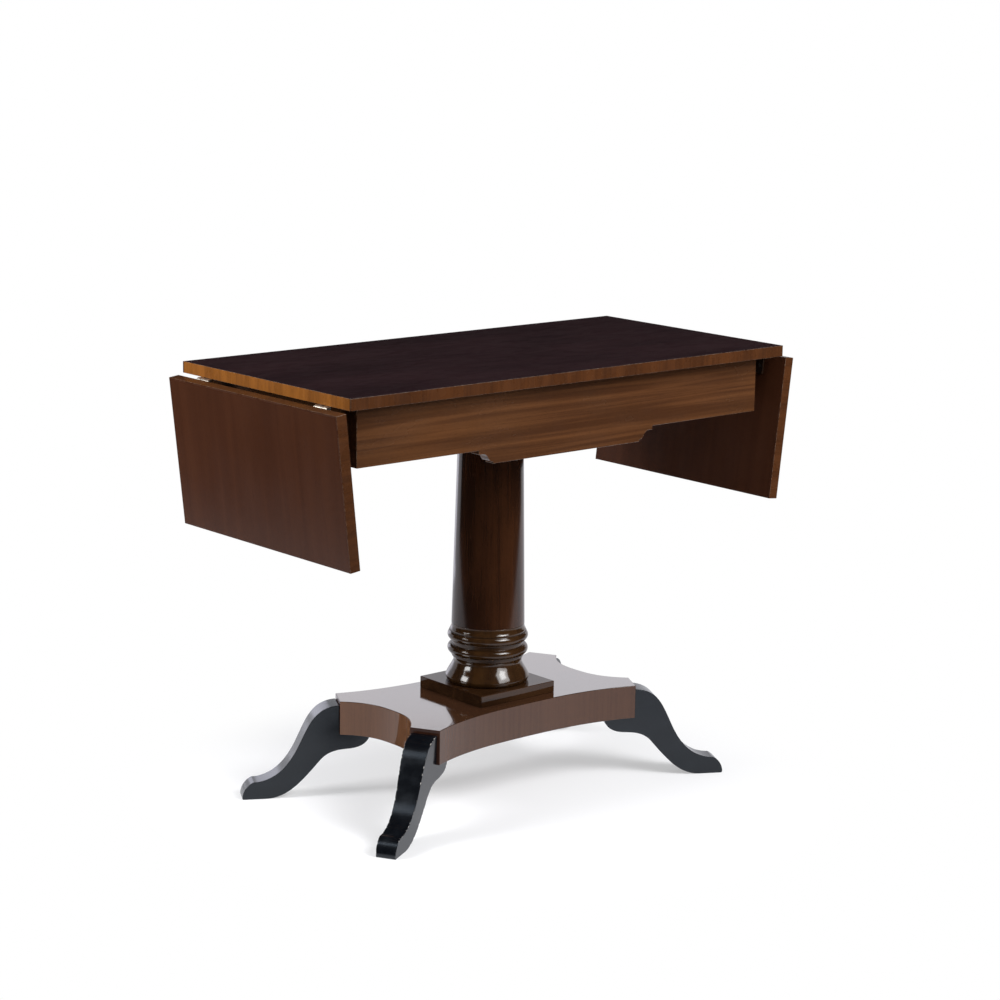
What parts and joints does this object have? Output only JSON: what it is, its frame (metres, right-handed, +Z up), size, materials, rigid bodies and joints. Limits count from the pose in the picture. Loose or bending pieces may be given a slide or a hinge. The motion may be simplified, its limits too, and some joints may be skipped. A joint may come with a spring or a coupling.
{
  "type": "sofa table",
  "caption": "Pedestal sofa table with hinged drop leaves held up by folding stays, a turned column, a hollow-sided platform and black scroll legs.",
  "frame": {"origin": "on the floor under the column's axis, at the middle of the table", "axes": "+X along the length to the right, +Y to the back, +Z up; the leaves hang at rest"},
  "size_m": [1.0048, 0.45, 0.76],
  "materials": {
    "mahogany_top": "dark mahogany veneer under satin lacquer, grain along the length",
    "mahogany_leaf": "red-brown mahogany veneer under satin lacquer, grain from hinge to outer edge",
    "cross_band": "golden-brown edge bands with the grain across the edge",
    "mahogany_apron": "ribbon-striped mahogany under satin lacquer, grain along the rail",
    "frame_wood": "plain planed secondary wood",
    "column_veneer": "dark mahogany veneer under polish, grain upright",
    "turned_mahogany": "very dark stained turning under high-gloss polish",
    "platform_veneer": "brown veneer under high-gloss polish, upright grain on the sides",
    "black_lacquer": "black satin lacquer, chipped along the edges",
    "dowel_wood": "plain dowel wood",
    "hinge_steel": "plated steel, dull",
    "stay_steel": "plated steel strip",
    "rod_steel": "plain steel",
    "screw_steel": "plated steel"
  },
  "bodies": {
    "frame": {"apron_back": "mahogany_apron", "apron_front": "mahogany_apron", "column_base": "turned_mahogany", "column_bearer": "frame_wood", "column_shaft": "column_veneer", "corner_blocks": "frame_wood", "cross_rail_left": "frame_wood", "cross_rail_right": "frame_wood", "end_rail_left": "mahogany_apron", "end_rail_right": "mahogany_apron", "hardware_screws_frame": "screw_steel", "hinge_left_back_top_flap": "hinge_steel", "hinge_left_front_top_flap": "hinge_steel", "hinge_pins": "hinge_steel", "hinge_right_back_top_flap": "hinge_steel", "hinge_right_front_top_flap": "hinge_steel", "leg_back_left": "black_lacquer", "leg_back_right": "black_lacquer", "leg_dowels": "dowel_wood", "leg_front_left": "black_lacquer", "leg_front_right": "black_lacquer", "leg_screws": "screw_steel", "platform_block": "platform_veneer", "plinth_block": "turned_mahogany", "stay_left_rail_plate": "stay_steel", "stay_right_rail_plate": "stay_steel", "tie_rod": "rod_steel", "tie_rod_nuts": "rod_steel", "tie_rod_washers": "rod_steel", "top_board": "mahogany_top", "top_edge_back": "cross_band", "top_edge_front": "cross_band", "top_edge_left": "cross_band", "top_edge_right": "cross_band", "top_screws": "screw_steel"},
    "leaf_right": {"hardware_screws_leaf_right": "screw_steel", "hinge_right_back_leaf_flap": "hinge_steel", "hinge_right_front_leaf_flap": "hinge_steel", "leaf_right_board": "mahogany_leaf", "leaf_right_edge_back": "cross_band", "leaf_right_edge_front": "cross_band", "leaf_right_edge_hinge": "cross_band", "leaf_right_edge_outer": "cross_band", "stay_right_leaf_plate": "stay_steel"},
    "leaf_left": {"hardware_screws_leaf_left": "screw_steel", "hinge_left_back_leaf_flap": "hinge_steel", "hinge_left_front_leaf_flap": "hinge_steel", "leaf_left_board": "mahogany_leaf", "leaf_left_edge_back": "cross_band", "leaf_left_edge_front": "cross_band", "leaf_left_edge_hinge": "cross_band", "leaf_left_edge_outer": "cross_band", "stay_left_leaf_plate": "stay_steel"},
    "stay_right_lower": {"stay_right_lower_arm": "stay_steel"},
    "stay_right_upper": {"stay_right_upper_arm": "stay_steel"},
    "stay_left_lower": {"stay_left_lower_arm": "stay_steel"},
    "stay_left_upper": {"stay_left_upper_arm": "stay_steel"}
  },
  "joints": [
    {"name": "leaf_right_hinge", "type": "hinge", "parent": "frame", "child": "leaf_right", "pos_m": [0.4785, 0, 0.7362], "axis": [0, -1, 0], "range_deg": [0, 96.65]},
    {"name": "stay_right_rail_pivot", "type": "hinge", "parent": "frame", "child": "stay_right_lower", "pos_m": [0.4492, 0, 0.6762], "axis": [0, -1, 0], "range_deg": [-26.2, 0]},
    {"name": "stay_right_leaf_pivot", "type": "hinge", "parent": "leaf_right", "child": "stay_right_upper", "pos_m": [0.46598, 0, 0.66517], "axis": [0, -1, 0], "range_deg": [0, 22.1]},
    {"name": "leaf_left_hinge", "type": "hinge", "parent": "frame", "child": "leaf_left", "pos_m": [-0.4785, 0, 0.7362], "axis": [0, 1, 0], "range_deg": [0, 96.65]},
    {"name": "stay_left_rail_pivot", "type": "hinge", "parent": "frame", "child": "stay_left_lower", "pos_m": [-0.4492, 0, 0.6762], "axis": [0, 1, 0], "range_deg": [-26.2, 0]},
    {"name": "stay_left_leaf_pivot", "type": "hinge", "parent": "leaf_left", "child": "stay_left_upper", "pos_m": [-0.46598, 0, 0.66517], "axis": [0, 1, 0], "range_deg": [0, 22.1]}
  ],
  "couplings": [
    {"joint": "stay_right_rail_pivot", "follows": "leaf_right_hinge", "ratio": -0.27029},
    {"joint": "stay_right_leaf_pivot", "follows": "leaf_right_hinge", "ratio": 0.22823},
    {"joint": "stay_left_rail_pivot", "follows": "leaf_left_hinge", "ratio": -0.27029},
    {"joint": "stay_left_leaf_pivot", "follows": "leaf_left_hinge", "ratio": 0.22823}
  ]
}
